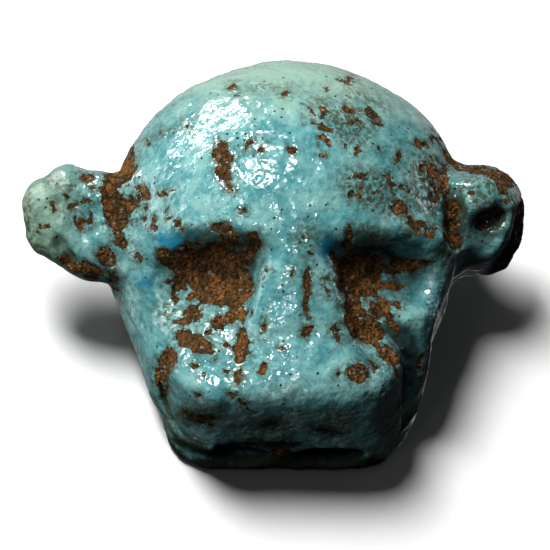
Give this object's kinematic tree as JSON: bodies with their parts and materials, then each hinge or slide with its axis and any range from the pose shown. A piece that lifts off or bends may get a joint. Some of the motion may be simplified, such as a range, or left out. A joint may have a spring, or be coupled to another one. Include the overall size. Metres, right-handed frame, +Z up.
{
  "type": "lioness head amulet bead",
  "caption": "Small moulded bead in the shape of a lioness's head, flat below, with round ears and a string hole from side to side.",
  "frame": {"origin": "middle of the bead's box, on the flat underside that it lies on", "axes": "+X towards the bead's own left ear, across the head; +Y from the muzzle to the nape; +Z up, from the flat underside to the crown"},
  "size_m": [0.0252, 0.02, 0.0118],
  "materials": {
    "glazed_faience": "glossy turquoise alkaline glaze, pitted and worn through in patches to a rust-brown granular core"
  },
  "bodies": {
    "root": {"lioness_head": "glazed_faience"}
  },
  "joints": []
}
